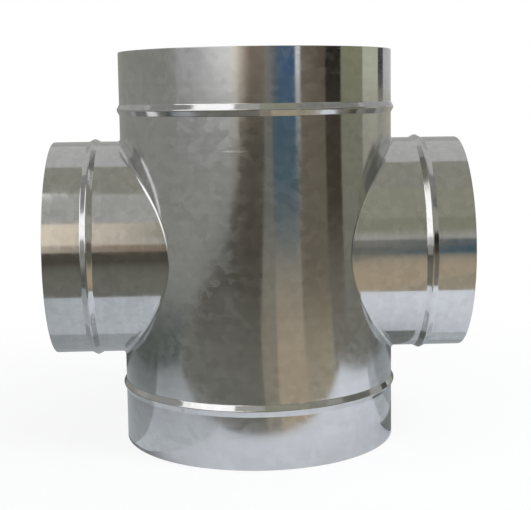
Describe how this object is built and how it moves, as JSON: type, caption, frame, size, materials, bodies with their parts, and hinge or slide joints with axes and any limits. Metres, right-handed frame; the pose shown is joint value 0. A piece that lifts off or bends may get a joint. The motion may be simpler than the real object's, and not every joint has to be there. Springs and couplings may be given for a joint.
{
  "type": "duct cross",
  "caption": "Round sheet-metal duct cross: an upright barrel with two smaller side collars, all four open ends beaded spigots that slip into round duct.",
  "frame": {"origin": "the point where the barrel's axis and the collars' axis cross, which is the centre of the whole part", "axes": "+Z along the barrel towards its top spigot, +X along the collars towards the right spigot, +Y to the back, where the barrel's seam is"},
  "size_m": [0.2372, 0.1622, 0.227],
  "materials": {
    "galvanised_sheet": "satin"
  },
  "bodies": {
    "root": {"barrel": "galvanised_sheet", "left_collar": "galvanised_sheet", "right_collar": "galvanised_sheet"}
  },
  "joints": []
}
